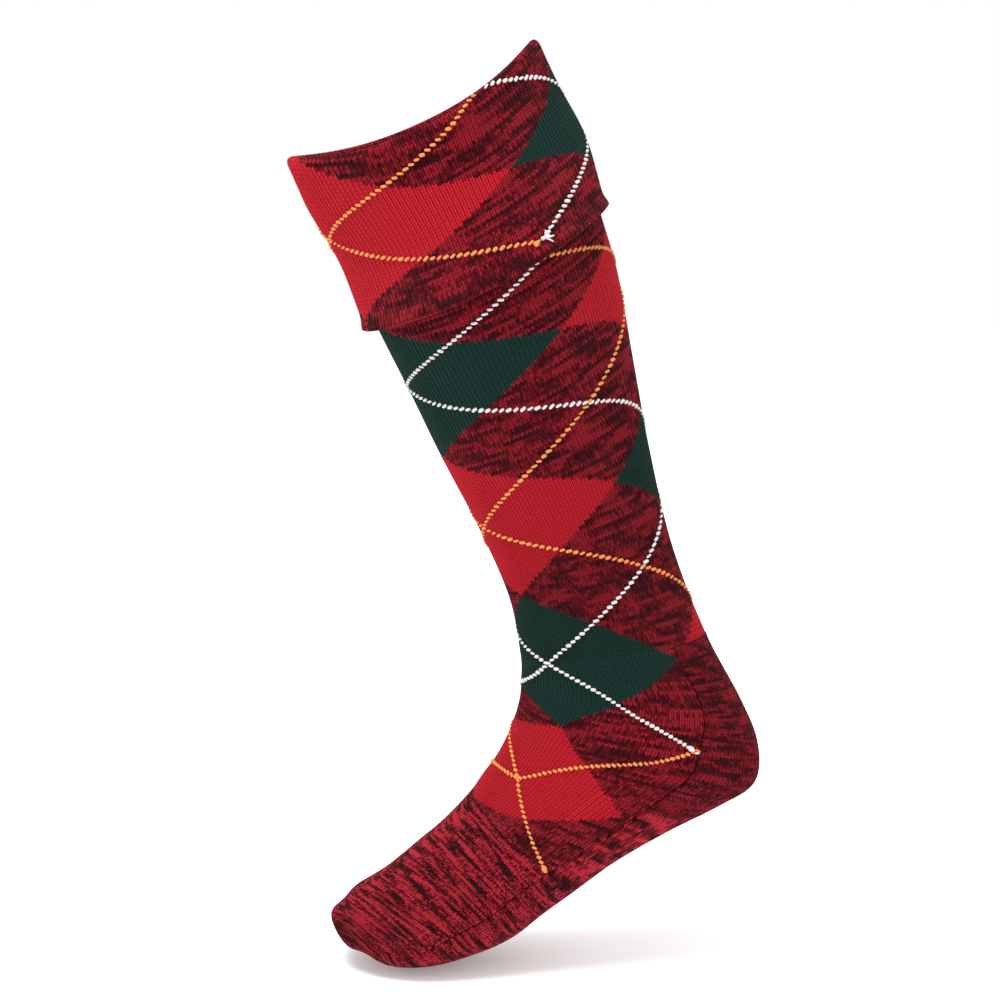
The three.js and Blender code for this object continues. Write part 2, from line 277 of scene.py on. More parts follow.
def directions(level, around):
    """Unit vectors at points of the skin: out of the sock, toward the mouth, and round it."""
    edge = np.minimum(level, TOE_POLE - 2 * NUDGE)
    to_mouth = skin(edge - NUDGE, around) - skin(edge + NUDGE, around)
    roundabout = skin(edge, around + NUDGE) - skin(edge, around - NUDGE)
    return unit(np.cross(roundabout, to_mouth)), unit(to_mouth), unit(roundabout)


def laid(level, around, height):
    """Points of the skin moved outward by a height, which may be one number or one for each point."""
    outward = directions(level, around)[0]
    return skin(level, around) + outward * np.asarray(height)[..., None]


probe = skin(np.linspace(0, TOE_POLE, 60)[:, None], np.linspace(0, 2 * np.pi, 60)[None])
print("skin spans in mm:", np.round((probe.max((0, 1)) - probe.min((0, 1))) / MM, 1))

# %% [markdown]
# ## Where the argyle lies
# An argyle is charted in two coordinates. The column is 0 at the middle of the front diamonds and 1 at the
# middle of the back ones, and the row counts diamonds down the leg. On the foot the pattern has slipped
# round toward the near side, as it does when a sock is pulled on. So each row of this table says, for a
# level, at which angle the front column stands, how many degrees lie between it and the side line where
# diamonds touch, near and far, how far the cloth reaches round to the back seam, which pattern row is
# there, and how far the row has slipped at the side line.

# %% Pattern tables
SEAM_COLUMN = 0.93
SIDE_COLUMN = 0.5
CALF_LEVEL = 4
SLIP_ROUNDING, SLIP_START = 0.001, 0.03
NEWTON_STEPS = 8
PATTERN = {
    "leg": {"step": 2, "rows": np.array([  # front, near, far, reach near, reach far, row, slip
        (0, 115, 115, 180, 180, -1.93, 0),
        (3, 115, 115, 180, 180, -0.94, 0),
        (8, 106, 106, 180, 180, 0.02, -0.05),
        (23, 101, 101, 180, 180, 1.01, -0.03),
        (44, 84, 84, 180, 180, 1.99, -0.05),
        (49, 66, 100, 180, 170, 2.41, 0.04),
        (46, 64, 112, 180, 170, 2.66, 0.14),
        (43, 68, 118, 180, 170, 3.05, 0.2),
        (14, 92, 108, 180, 165, 3.53, 0.3),
        (5, 100, 100, 180, 160, 4.35, 0.6),
        (0, 100, 100, 180, 160, 5.3, 0.75),
        (0, 100, 100, 180, 160, 5.85, 0.75),
    ], float)},
    "cuff": {"step": 1, "rows": np.array([
        (6, 114, 130, 180, 180, 0.62, -0.05),
        (12, 106, 120, 180, 180, 0.82, 0.0),
        (16, 99, 105, 180, 180, 1.15, 0.03),
        (16, 101, 101, 180, 180, 1.54, 0.02),
    ], float)},
}


def pattern_at(part, level):
    """Front angle, the cubics' coefficients for the near and far side, the row and its slip, at a level.

    On each side the angle from the front column is a * column + b * column cubed, which passes through the
    side line at SIDE_COLUMN and reaches the back seam at SEAM_COLUMN. No reach goes past half a turn.
    """
    table = PATTERN[part]
    front, near, far, reach_near, reach_far, row, slip = np.moveaxis(
        smooth_rows(table["rows"], np.asarray(level, float) / table["step"]), -1, 0)

    def cubic(side, reach):
        """The two coefficients of one side, from its angles at the side line and at the back seam."""
        bend = (np.minimum(reach, 180) - 2 * SEAM_COLUMN * side) / (SEAM_COLUMN ** 3 - SEAM_COLUMN / 4)
        return 2 * side - bend / 4, bend

    return front, cubic(near, reach_near), cubic(far, reach_far), row, slip


def slipped(column):
    """The share of a row's slip at a column: none at the front, all of it from the side line back."""
    size = np.minimum(np.abs(column), SIDE_COLUMN)
    return (np.sqrt(size ** 2 + SLIP_ROUNDING) - SLIP_START) / SIDE_COLUMN


def angle_of(part, level, column):
    """The angle around, in radians, at which a pattern column stands at a level."""
    front, near, far, _, _ = pattern_at(part, level)
    size = np.abs(column)
    near_side = near[0] * size + near[1] * size ** 3
    far_side = far[0] * size + far[1] * size ** 3
    return np.radians(front + np.where(column >= 0, near_side, -far_side))


def pattern_of(part, level, around):
    """The pattern's column and row at a level and an angle, by Newton's steps on the cubic."""
    front, near, far, row, slip = pattern_at(part, level)
    turned = (np.degrees(around) - front + 180) % 360 - 180
    linear = np.where(turned >= 0, near[0], far[0])
    bend = np.where(turned >= 0, near[1], far[1])
    wanted = np.abs(turned)
    column = wanted / linear
    for _ in range(NEWTON_STEPS):
        column = column - (linear * column + bend * column ** 3 - wanted) / (linear + 3 * bend * column ** 2)
    return column * np.sign(turned), row + slip * slipped(column)


side_line = np.degrees(angle_of("leg", CALF_LEVEL, np.array(SIDE_COLUMN)))
print("near side line at the calf, in degrees:", side_line.round(1))

# %% [markdown]
# ## A knitted wall
# Stocking stitch stands in columns of V stitches, called wales, that run down the sock, and rows of
# stitches are called courses. Each wale is a ridge of real relief here, four mesh columns wide, and the
# single stitches are bump, because a mesh for each of tens of thousands of stitches would be past any
# sensible size. Each piece is a closed wall: a fine outer face, a coarse inner face and rims between them.
# Wales are numbered from the back seam round to the back seam, and this yarn gives about 2.5 millimetres to
# a wale and 1.8 to a course on the calf.

# %% Wales round the sock
WALES = 156
PER_WALE = 4
WALE_CROWN, GROOVE = 0.62 * MM, 0.4 * MM
CROWN_STEP, CROWN_ROUNDNESS = 0.1, 0.8
COURSES_PER_ROW = 44
FAR_EDGE, NEAR_EDGE = 2, 120
EVEN_BY = 3
CALM = 0.05


def leg_column(wale):
    """The pattern column of a wale on the leg: they run evenly from the back seam round to the back seam."""
    return (2 * np.asarray(wale, float) / WALES - 1) * SEAM_COLUMN


def leg_angle(level, wale):
    """The angle of a wale on the leg."""
    return angle_of("leg", level, leg_column(wale))


def seam_angle(level):
    """The angle of the seam between instep and sole, in radians, the same on both sides."""
    return np.radians(smooth_rows(RINGS, level)[..., -1])


def knit_angle(level, wale):
    """The angle of a wale at any level.

    Past the leg's end a wale keeps its share of the way between the two seams, and that share turns into an
    even one over the next EVEN_BY levels. Wales past the last one belong to the first ones, a turn later.
    """
    level, wale = np.broadcast_arrays(np.asarray(level, float), np.asarray(wale, float))
    seam = seam_angle(level)
    turn = np.floor(wale / WALES)
    on_leg = leg_angle(np.minimum(level, LEG_END), wale - turn * WALES) + turn * 2 * np.pi
    far, near = leg_angle(float(LEG_END), np.array([FAR_EDGE, NEAR_EDGE]))
    instep = wale <= NEAR_EDGE
    leg_share = np.where(instep, (on_leg - far) / (near - far), (on_leg - near) / (2 * np.pi + far - near))
    even_share = np.where(instep, (wale - FAR_EDGE) / (NEAR_EDGE - FAR_EDGE),
                          (wale - NEAR_EDGE) / (WALES + FAR_EDGE - NEAR_EDGE))
    blend_in = np.clip((level - LEG_END) / EVEN_BY, 0, 1)
    blend_in = blend_in ** 2 * (3 - 2 * blend_in)
    share = leg_share + (even_share - leg_share) * blend_in
    on_foot = np.where(instep, -seam + share * 2 * seam, seam + share * (2 * np.pi - 2 * seam))
    return np.where(level > LEG_END, on_foot, on_leg)


def wale_relief(wale):
    """Height of the knit: a rounded ridge for each wale, every second one lower, less the groove."""
    crown = WALE_CROWN * (1 - CROWN_STEP + CROWN_STEP * np.cos(np.pi * np.floor(wale)))
    return crown * np.abs(np.sin(np.pi * wale)) ** CROWN_ROUNDNESS - GROOVE


edges = np.degrees(leg_angle(float(LEG_END), np.array([FAR_EDGE, NEAR_EDGE])))
print("wales at the foot's seams stand at degrees:", edges.round(1))

# %% Grid and mesh helpers
MERGE_STEP = 1e-3 * MM
INNER_STEP = 6


def grid_faces(rows, columns, start=0):
    """Corners of the quads of a grid, facing outward when rows run to the toe and columns round the sock."""
    row, column = np.meshgrid(np.arange(rows - 1), np.arange(columns - 1), indexing="ij")
    first = start + (row * columns + column).ravel()
    return np.stack([first, first + columns, first + columns + 1, first + 1], 1)


def mesh_piece(name, points, quads, uv_maps, triangles=None):
    """A smooth-shaded object from corner points, quads, triangles if any, and a UV for each corner point.

    Corner points that share a place are merged, so a seam in a UV map leaves no seam in the mesh. A quad
    with two merged corners becomes a triangle, and one with less than three left is dropped.
    """
    triangles = np.empty((0, 3), int) if triangles is None else triangles
    _, keep, merged = np.unique(np.round(points / MERGE_STEP).astype(np.int64), axis=0,
                                return_index=True, return_inverse=True)
    merged = merged.ravel()
    same = merged[quads] == merged[np.roll(quads, -1, 1)]
    narrowed = same.sum(1) == 1
    pointed = quads[narrowed][~same[narrowed]].reshape(-1, 3)
    quads = quads[same.sum(1) == 0]
    triangles = np.concatenate([triangles, pointed])
    triangles = triangles[(np.diff(np.sort(merged[triangles], axis=1), axis=1) > 0).all(1)]
    corners = np.concatenate([quads.ravel(), triangles.ravel()])
    lengths = np.concatenate([np.full(len(quads), 4), np.full(len(triangles), 3)])
    mesh = bpy.data.meshes.new(name)
    mesh.vertices.add(len(keep))
    mesh.vertices.foreach_set("co", points[keep].astype(np.float32).ravel())
    mesh.loops.add(len(corners))
    mesh.loops.foreach_set("vertex_index", merged[corners].astype(np.int32))
    mesh.polygons.add(len(lengths))
    mesh.polygons.foreach_set("loop_start", np.concatenate([[0], np.cumsum(lengths)[:-1]]).astype(np.int32))
    mesh.polygons.foreach_set("use_smooth", np.ones(len(lengths), bool))
    mesh.update(calc_edges=True)
    for uv_name, uv in uv_maps.items():
        layer = mesh.uv_layers.new(name=uv_name)
        layer.uv.foreach_set("vector", uv[corners].astype(np.float32).ravel())
    if mesh.validate():
        print(name, "had faces that were put right")
    piece = bpy.data.objects.new(name, mesh)
    bpy.context.scene.collection.objects.link(piece)
    print(name, "triangles:", int((lengths - 2).sum()), "open edges:", open_edges(merged, quads, triangles))
    return piece


def open_edges(merged, quads, triangles):
    """How many edges of the faces have only one face beside them. A closed shell has none."""
    ends = [np.stack([face[:, k], np.roll(face, -1, 1)[:, k]], 1) for face in (quads, triangles)
            for k in range(face.shape[1])]
    ends = np.sort(merged[np.concatenate(ends)], axis=1)
    return int((np.unique(ends, axis=0, return_counts=True)[1] != 2).sum())


def calm_ends(levels, calm):
    """Share of the relief at each level: it fades to nothing at the ends that calm names."""
    start = np.clip((levels - levels[0]) / CALM, 0, 1) if calm[0] else 1
    end = np.clip((levels[-1] - levels) / CALM, 0, 1) if calm[1] else 1
    return np.ones(len(levels)) * start * end


def knit_wall(name, levels, wales, counted, calm=(False, False), raised=None, tip=False,
              courses=COURSES_PER_ROW):
    """A closed wall of knit over a grid of levels and wales, which the panel counts in its own numbers.

    The outer face is the skin plus the ridges' relief and any raised seams, and the inner face is the skin
    less the wall, with every INNER_STEP-th row. Each side that isn't joined to the other is closed by
    triangles, and at a tip the last ring of each face is drawn together to a point.
    """
    level, wale = np.meshgrid(levels, wales, indexing="ij")
    counted = np.broadcast_to(counted, wale.shape)
    around = knit_angle(level, wale)
    height = wale_relief(counted) * calm_ends(levels, calm)[:, None]
    if raised is not None:
        height = height + raised(level, wale, around)
    outer = laid(level, around, height)
    kept = np.unique(np.r_[np.arange(0, len(levels), INNER_STEP), len(levels) - 1])
    inner = laid(level[kept], around[kept], np.full(around[kept].shape, -WALL))
    if tip:
        outer[-1] = outer[-1].mean(0)
        inner[-1] = outer[-1] - unit(outer[-1] - outer[0].mean(0)) * WALL
    column, row = pattern_of("leg", level, around)
    column = np.where(level <= LEG_END, leg_column(wale), column)
    knit = np.stack([counted, row * courses], -1)
    chart = np.stack([column, row], -1)
    rows, columns = level.shape
    inside = rows * columns
    points = np.concatenate([outer.reshape(-1, 3), inner.reshape(-1, 3)])
    uv_maps = {key: np.concatenate([uv.reshape(-1, 2), uv[kept].reshape(-1, 2)])
               for key, uv in (("knit", knit), ("chart", chart))}
    top = np.arange(columns)
    bottom, bottom_inside = (rows - 1) * columns + top, inside + (len(kept) - 1) * columns + top
    quads = np.concatenate([
        grid_faces(rows, columns),
        grid_faces(len(kept), columns, inside)[:, ::-1],
        np.stack([top[:-1], top[1:], inside + top[1:], inside + top[:-1]], 1),
        np.stack([bottom[1:], bottom[:-1], bottom_inside[:-1], bottom_inside[1:]], 1),
    ])
    joined = np.allclose(outer[:, 0], outer[:, -1], atol=1e-5)
    sides = None if joined else side_rims(rows, columns, kept, inside)
    return mesh_piece(name, points, quads, uv_maps, sides)


def side_rims(rows, columns, kept, inside):
    """Triangles that close the two sides of a panel, where a fine outer edge meets a coarse inner one."""
    row = np.arange(rows - 1)
    above = np.searchsorted(kept, row, side="right") - 1
    below = np.searchsorted(kept, row + 1, side="right") - 1
    made = []
    for column, turn in ((0, 1), (columns - 1, -1)):
        here, following = row * columns + column, (row + 1) * columns + column
        inner_here, inner_next = inside + above * columns + column, inside + below * columns + column
        made.append(np.stack([here, inner_here, following], 1)[:, ::turn])
        made.append(np.stack([following, inner_here, inner_next], 1)[above != below][:, ::turn])
    return np.concatenate(made)


def wale_lines(start, end, count):
    """Positions of a panel's mesh columns among the leg's wales, and in its own count of wales."""
    return np.linspace(start, end, count * PER_WALE + 1), np.arange(count * PER_WALE + 1) / PER_WALE

# %% [markdown]
# ## The leg
# The leg is a long tube of argyle. It could be a plain tube with a displacement modifier, but a grid of our
# own lets each mesh column follow a real wale, so that the ridges lean and spread as the cloth does over
# the calf. What the cuff hides needs few rows.

# %% Leg
HEM_LEVEL = 2.97
HIDDEN_END = 2.8
HIDDEN_ROWS, SHOWN_ROWS = 9, 98
BACK_SEAM_HEIGHT = 0.5 * MM
BACK_SEAM_WIDTH = 1.1
leg_levels = np.concatenate([np.linspace(0, HIDDEN_END, HIDDEN_ROWS),
                             np.linspace(HIDDEN_END, LEG_END, SHOWN_ROWS)[1:]])
leg_wales, leg_counted = wale_lines(0, WALES, WALES)


def back_seam(level, wale, around):
    """A low ridge where the leg's edges are sewn up the back: a bell across the last and first wale."""
    off = np.minimum(wale, WALES - wale) / BACK_SEAM_WIDTH
    return BACK_SEAM_HEIGHT * np.exp(-off ** 2)


leg = knit_wall("leg_knit", leg_levels, leg_wales, leg_counted, (False, True), back_seam)

# %% [markdown]
# ## The instep, heel, sole and toe
# The heel flap is picked up from the back of the leg and the sole goes on from it, while the instep goes on
# from the front. They meet in a seam on each side of the foot, and both run into the toe, which closes to a
# point. Each is a panel of the same skin, so their borders meet. The heel's courses are counted closer,
# because the pattern's rows spread out round its bend.

# %% Foot panels
INSTEP_COUNT, SOLE_COUNT = 86, 50
INSTEP_GRID, HEEL_GRID, SOLE_GRID, TOE_GRID = 96, 60, 66, 56
TIP_OPENING = 0.02
SEAM_HEIGHT, SEAM_WIDTH = 0.9 * MM, 1.3
SEAM_GROOVE, GROOVE_WIDTH = 1.5 * MM, 0.3
SEAM_FADE_IN, SEAM_FADE_OUT = 0.4, 0.8
BORDER_HEIGHT = 0.45 * MM
BORDER_WIDTH = 0.045
HEEL_COURSES = 74
instep_wales, instep_counted = wale_lines(FAR_EDGE, NEAR_EDGE, INSTEP_COUNT)
sole_wales, sole_counted = wale_lines(NEAR_EDGE, WALES + FAR_EDGE, SOLE_COUNT)
toe_wales = np.concatenate([instep_wales, sole_wales[1:]])
toe_counted = np.concatenate([instep_counted, INSTEP_COUNT + sole_counted[1:]])


def seam_ridge(level, wale, around):
    """A low ridge with a groove in its middle along both seams of the foot, which fades out over the toe."""
    off = np.min([np.abs(wale - edge) for edge in (NEAR_EDGE, FAR_EDGE, WALES + FAR_EDGE)], axis=0)
    fade = np.clip((TOE_START + SEAM_FADE_OUT - level) / SEAM_FADE_OUT, 0, 1)
    fade = fade * np.clip((level - LEG_END) / SEAM_FADE_IN, 0, 1)
    ridge = SEAM_HEIGHT * np.exp(-(off / SEAM_WIDTH) ** 2) - SEAM_GROOVE * np.exp(-(off / GROOVE_WIDTH) ** 2)
    return fade * ridge


def heel_ridges(level, wale, around):
    """The foot's seams, with a low ridge where the flap is picked up from the leg."""
    return seam_ridge(level, wale, around) + BORDER_HEIGHT * np.exp(-((level - LEG_END) / BORDER_WIDTH) ** 2)


instep = knit_wall("instep_knit", np.linspace(LEG_END, TOE_START, INSTEP_GRID), instep_wales, instep_counted,
                   (True, False), seam_ridge)
heel = knit_wall("heel_knit", np.linspace(LEG_END, HEEL_END, HEEL_GRID), sole_wales, sole_counted,
                 (True, False), heel_ridges, courses=HEEL_COURSES)
sole = knit_wall("sole_knit", np.linspace(HEEL_END, TOE_START, SOLE_GRID), sole_wales, sole_counted,
                 (False, False), seam_ridge)
toe_levels = TOE_START + (TOE_POLE - TIP_OPENING - TOE_START) * np.linspace(0, 1, TOE_GRID)
toe = knit_wall("toe_knit", toe_levels, toe_wales, toe_counted, (False, True), seam_ridge, tip=True)

# %% [markdown]
# ## The turned-over cuff
# The cuff is the same knit folded down over the top of the leg, so it stands off the leg and ends in a
# rounded hem. Its section is one closed profile: up the outside from the hem, over the fold, under it and
# down the inside. That profile is carried round the leg, with the ridges on the outside only. Knit that
# bends over a fold opens, so the ridges are higher there.

# %% Cuff
FOLD_HALF = (SEAM_GAP + 2 * WALL) / 2
OUTSIDE_ROWS, FOLD_STEPS, INSIDE_ROWS, HEM_STEPS = 62, 14, 12, 7
FOLD_PITCH = 80 * MM
RIB_GAIN, RIB_REACH = 0.9, 0.3
FOLD_LIFT = 1.6 * MM
HEM_ROLL, HEM_ROLL_WIDTH = 1.7 * MM, 0.11
HEM_SPREAD = 1.4 * MM
HEM_RELIEF = 0.6
FLARE_CURVE, SPREAD_CURVE = 1.5, 4
FOLD_SIDE, FOLD_SPREAD = 88, 32
CUFF_ROWS = (0.505, 1.495)


def cuff_gap(level, around):
    """How far the cuff's inner face stands off the leg: more toward the hem, and most at the front."""
    share = np.clip(level / HEM_LEVEL, 0, 1)
    front = 0.5 + 0.5 * np.cos(around)
    flare = CUFF_FLARE * share ** FLARE_CURVE * front
    return SEAM_GAP + flare + HEM_SPREAD * share ** SPREAD_CURVE * (1 - front)


def fold_lift(around):
    """How far the fold stands above the leg's rim at each side: a bell about the side of the leg."""
    side = np.degrees(np.abs((around + np.pi) % (2 * np.pi) - np.pi))
    return FOLD_LIFT * np.exp(-((side - FOLD_SIDE) / FOLD_SPREAD) ** 2)


def cuff_profile():
    """The closed profile as arrays: level, rise toward the mouth, height out, gap share and relief share.

    The height out is measured from the skin, or from the cuff's inner face where the share of the gap is 1.
    """
    outside = np.linspace(HEM_LEVEL, 0, OUTSIDE_ROWS)
    turn = np.linspace(0, np.pi, FOLD_STEPS + 2)[1:-1]
    inside = np.linspace(0, HEM_LEVEL, INSIDE_ROWS)
    hem = np.linspace(np.pi, 0, HEM_STEPS + 2)[1:-1]
    level = np.concatenate([outside, turn * 0, [0, 0], inside, hem * 0 + HEM_LEVEL])
    rise = np.concatenate([outside * 0, SEAM_GAP + (FOLD_HALF + FOLD_RISE) * np.sin(turn),
                           [SEAM_GAP, SEAM_GAP], inside * 0, -WALL * 0.5 * np.sin(hem)])
    fold_height = FOLD_HALF * np.cos(turn) + FOLD_HALF - WALL
    height = np.concatenate([outside * 0 + WALL, fold_height, [-WALL, SEAM_GAP * 0.5], inside * 0,
                             WALL * 0.5 * (1 + np.cos(hem))])
    gap_share = np.concatenate([outside * 0 + 1, turn * 0, [0, 0], inside * 0 + 1, hem * 0 + 1])
    ribs = 1 + RIB_GAIN * np.exp(-(outside / RIB_REACH) ** 2)
    relief = np.concatenate([ribs, (1 + RIB_GAIN) * np.sin(np.pi * (1 - turn / np.pi) / 2) ** 0.5,
                             [0, 0], inside * 0, hem * 0 + HEM_RELIEF])
    return level, rise, height, gap_share, relief


def cuff_surface(level, around, rise, height):
    """Points of the skin moved out by a height and toward the mouth by a rise."""
    outward, to_mouth, _ = directions(level, around)
    return skin(level, around) + outward * height[..., None] + to_mouth * rise[..., None]


def make_cuff():
    """The cuff's profile carried round the leg.

    Its chart is held between CUFF_ROWS, the tips of its one row of diamonds, so that only marl lies past
    them.
    """
    profile = np.array(cuff_profile())
    profile = np.concatenate([profile, profile[:, :1]], 1)
    shape = (profile.shape[1], len(leg_wales))
    level, rise, height, gap_share, relief = (np.broadcast_to(row[:, None], shape) for row in profile)
    column = leg_column(leg_wales)
    around = angle_of("cuff", level, column)
    out_from_skin = height + gap_share * cuff_gap(level, around) + relief * wale_relief(leg_counted)
    out_from_skin = out_from_skin + relief * HEM_ROLL * np.exp(-((level - HEM_LEVEL) / HEM_ROLL_WIDTH) ** 2)
    lifted = rise + fold_lift(around) * np.clip(rise / (FOLD_HALF + FOLD_RISE), 0, 1)
    points = cuff_surface(level, around, lifted, out_from_skin)
    row = pattern_of("cuff", level, around)[1] - lifted / FOLD_PITCH
    knit = np.stack([np.broadcast_to(leg_counted, row.shape), row * COURSES_PER_ROW], -1)
    chart = np.stack([np.broadcast_to(column, row.shape), np.clip(row, *CUFF_ROWS)], -1)
    rows, columns = row.shape
    return mesh_piece("cuff_knit", points.reshape(-1, 3), grid_faces(rows, columns)[:, ::-1],
                      {"knit": knit.reshape(-1, 2), "chart": chart.reshape(-1, 2)})


cuff = make_cuff()

# %% [markdown]
# ## The overcheck
# The thin white and gold lines aren't knitted in but worked over the finished cloth, so each stitch is a
# separate lump of yarn that stands proud. In chart coordinates the lines are straight: the row goes up or
# down by one for each column. A line is laid through the chart, turned into points in space, and then one
# small stitch is copied along it at steps that follow the gauge of the knit.

# %% Lines through the chart
CALF_STEP, FOOT_STEP = 3.6 * MM, 2.8 * MM
STITCH_LENGTH = 0.92
STITCH_WIDTH = 1.65 * MM
STITCH_HEIGHT = 1.6 * MM
STITCH_TILT = math.radians(30)
UNEVEN = 0.22
EMBEDDED, LOOK_AHEAD = 0.2, 0.3
GAUGE_LEVELS = (6, 10)
LINE_SAMPLES, LEVEL_SAMPLES = 900, 1200
SHORTEST_RUN = 8
UNDER_HEM = 0.08
KNOT_ROW, FOOT_ROW_END = 1.5, 3.5
FOLD_REACH, FOLD_ROWS = 0.32, 0.2
JUST_OUTSIDE = 0.01
chance = np.random.default_rng(7)


def level_of(part, row, column, top, end):
    """The level at which a chart row lies at a column, by linear steps, and whether it is there at all."""
    fine = np.linspace(top, end, LEVEL_SAMPLES)
    _, _, _, at_front, slip = pattern_at(part, np.maximum(fine, 0))
    at_front = at_front + np.minimum(fine, 0) * FOLD_ROWS
    rows = at_front[None] + slip[None] * slipped(column)[:, None]
    below = np.clip((rows < row[:, None]).sum(1), 1, len(fine) - 1)
    picked = np.arange(len(row))
    low, high = rows[picked, below - 1], rows[picked, below]
    share = (row - low) / (high - low)
    found = (share >= -JUST_OUTSIDE) & (share <= 1 + JUST_OUTSIDE)
    return fine[below - 1] + np.clip(share, 0, 1) * (fine[1] - fine[0]), found


def outside_of(part, level, around, height):
    """Points a height above the cloth's outer face, on the cuff or on the rest of the sock.

    Above level 0 a path on the cuff goes on over the fold, a quarter turn in FOLD_REACH.
    """
    if part == "leg":
        return laid(level, around, np.broadcast_to(height, level.shape))
    turn = np.clip(-level / FOLD_REACH, 0, 1) * np.pi / 2
    on_cuff = WALL + cuff_gap(level, around) + height
    over = (FOLD_HALF + height) * np.cos(turn) + FOLD_HALF - WALL
    rise = (FOLD_HALF + FOLD_RISE + fold_lift(around) + height) * np.sin(turn)
    return cuff_surface(np.maximum(level, 0), around, rise, np.where(level > 0, on_cuff, over))


def line_runs(part, first_row, slope):
    """Runs of level and angle along one overcheck line, cut where the line leaves the cloth that it crosses.

    On the cuff a line ends at the row of its knot, and on the far side at the fold. On the foot it ends at
    a row or at the seam.
    """
    column = np.linspace(-SEAM_COLUMN, SEAM_COLUMN, LINE_SAMPLES)
    row = first_row + slope * column
    top, end = (-FOLD_REACH, HEM_LEVEL) if part == "cuff" else (HEM_LEVEL - UNDER_HEM, TOE_START)
    level, valid = level_of(part, row, column, top, end)
    around = angle_of(part, np.maximum(level, 0), column)
    if part == "cuff":
        valid &= (row <= KNOT_ROW) & ((column > 0) | (level > 0))
    else:
        turned = np.abs((around + np.pi) % (2 * np.pi) - np.pi)
        valid &= (level <= LEG_END) | ((row <= FOOT_ROW_END) & (turned <= seam_angle(level)))
    breaks = np.flatnonzero(np.diff(valid.astype(int))) + 1
    parts = np.split(np.arange(LINE_SAMPLES), breaks)
    return [(level[run], around[run]) for run in parts if valid[run[0]] and len(run) > SHORTEST_RUN]

# %% Stitches along a line
STITCH_RINGS = STITCH_POINTS = 7
BLUNTNESS = 0.4


def stitch_shape():
    """One stitch: a rounded lump one long, on rings of six points, closed at its ends. x is along, z out."""
    along = np.linspace(0, np.pi, STITCH_RINGS)
    ring_angle = np.linspace(0, 2 * np.pi, STITCH_POINTS)
    size = np.sin(along) ** BLUNTNESS
    x = np.broadcast_to(-np.cos(along)[:, None] / 2, (STITCH_RINGS, STITCH_POINTS))
    y = size[:, None] * np.cos(ring_angle) * STITCH_WIDTH / 2
    z = size[:, None] * np.sin(ring_angle) * STITCH_HEIGHT / 2
    return np.stack([x, y, z], -1)


def lumps_at(middle, along, outward, lean, length, size):
    """Copies of the stitch at points, each turned by lean from along, of its own length and thickness."""
    across = unit(np.cross(outward, along))
    tilted = along * np.cos(lean)[:, None] + across * np.sin(lean)[:, None]
    frames = np.stack([tilted * length[:, None], unit(np.cross(outward, tilted)) * size[:, None],
                       outward * size[:, None]], 1)
    return middle[:, None, None] + np.einsum("abk,nkc->nabc", stitch_shape(), frames)


def stitches_along(part, level, around, lean):
    """Stitches along a run, one step apart. The step shrinks with the gauge from calf to foot."""
    path = outside_of(part, level, around, STITCH_HEIGHT * EMBEDDED)
    step = np.interp(level[1:], GAUGE_LEVELS, [CALF_STEP, FOOT_STEP])
    travelled = np.concatenate([[0], np.cumsum(np.linalg.norm(np.diff(path, axis=0), axis=1) / step)])
    count = max(int(round(travelled[-1])), 1)
    at = (np.arange(count) + 0.5) * travelled[-1] / count
    place = np.stack([np.interp(at, travelled, path[:, k]) for k in range(3)], 1)
    ahead = np.stack([np.interp(at + LOOK_AHEAD, travelled, path[:, k]) for k in range(3)], 1)
    behind = np.stack([np.interp(at - LOOK_AHEAD, travelled, path[:, k]) for k in range(3)], 1)
    at_level, at_around = np.interp(at, travelled, level), np.interp(at, travelled, around)
    outward = directions(np.maximum(at_level, 0), at_around)[0]
    step = np.interp(at_level, GAUGE_LEVELS, [CALF_STEP, FOOT_STEP])
    uneven = chance.uniform(-UNEVEN, UNEVEN, (3, count))
    return lumps_at(place, unit(ahead - behind), outward, lean + uneven[0],
                    step * STITCH_LENGTH * (1 + uneven[1] / 2), 1 + uneven[2])


def join_stitches(name, lumps):
    """One mesh from many copies of a closed grid, with a UV that runs along and round each stitch."""
    count, rows, columns, _ = lumps.shape
    size = rows * columns
    quads = grid_faces(rows, columns)[None] + np.arange(count)[:, None, None] * size
    along, round_it = np.meshgrid(np.linspace(0, 1, rows), np.linspace(0, 1, columns), indexing="ij")
    uv = np.stack([along, round_it], -1).reshape(-1, 2)
    uv = np.tile(uv, (count, 1)) + np.repeat(np.arange(count), size)[:, None] * [2.0, 0]
    return lumps.reshape(-1, 3), quads.reshape(-1, 4), uv

# %% Overcheck pieces
LEG_LINES = {"white": (0, 2), "gold": (-1, 1, 3)}
CUFF_LINES = {"white": (0, 2), "gold": (1,)}
KNOT_TURNS = np.radians([0, 55, 110, 20, -60, 85, 150, -15])
KNOT_SPREAD, KNOT_HEIGHT = 1.3 * MM, 0.6 * STITCH_HEIGHT
KNOT_LUMPS = 4
KNOT_LENGTH, TAIL_LENGTH = 3.0 * MM, 4.2 * MM
KNOT_SIZE, TAIL_SIZE = 1.15, 0.55
KNOT_OFF, TAIL_OFF = 0.4, 1.5
TAIL_LIFT = 0.5 * MM
KNOTS = {  # part, row, column, and how many lumps: four make a plain knot, more leave cut ends
    "white": [("cuff", 1.5, 0.515, 8), ("cuff", 1.5, -0.515, 8), ("leg", 2.49, 0.485, 4)],
    "gold": [("cuff", 1.5, 0.485, 4), ("cuff", 1.5, -0.485, 4), ("leg", 3.48, 0.475, 4)],
}


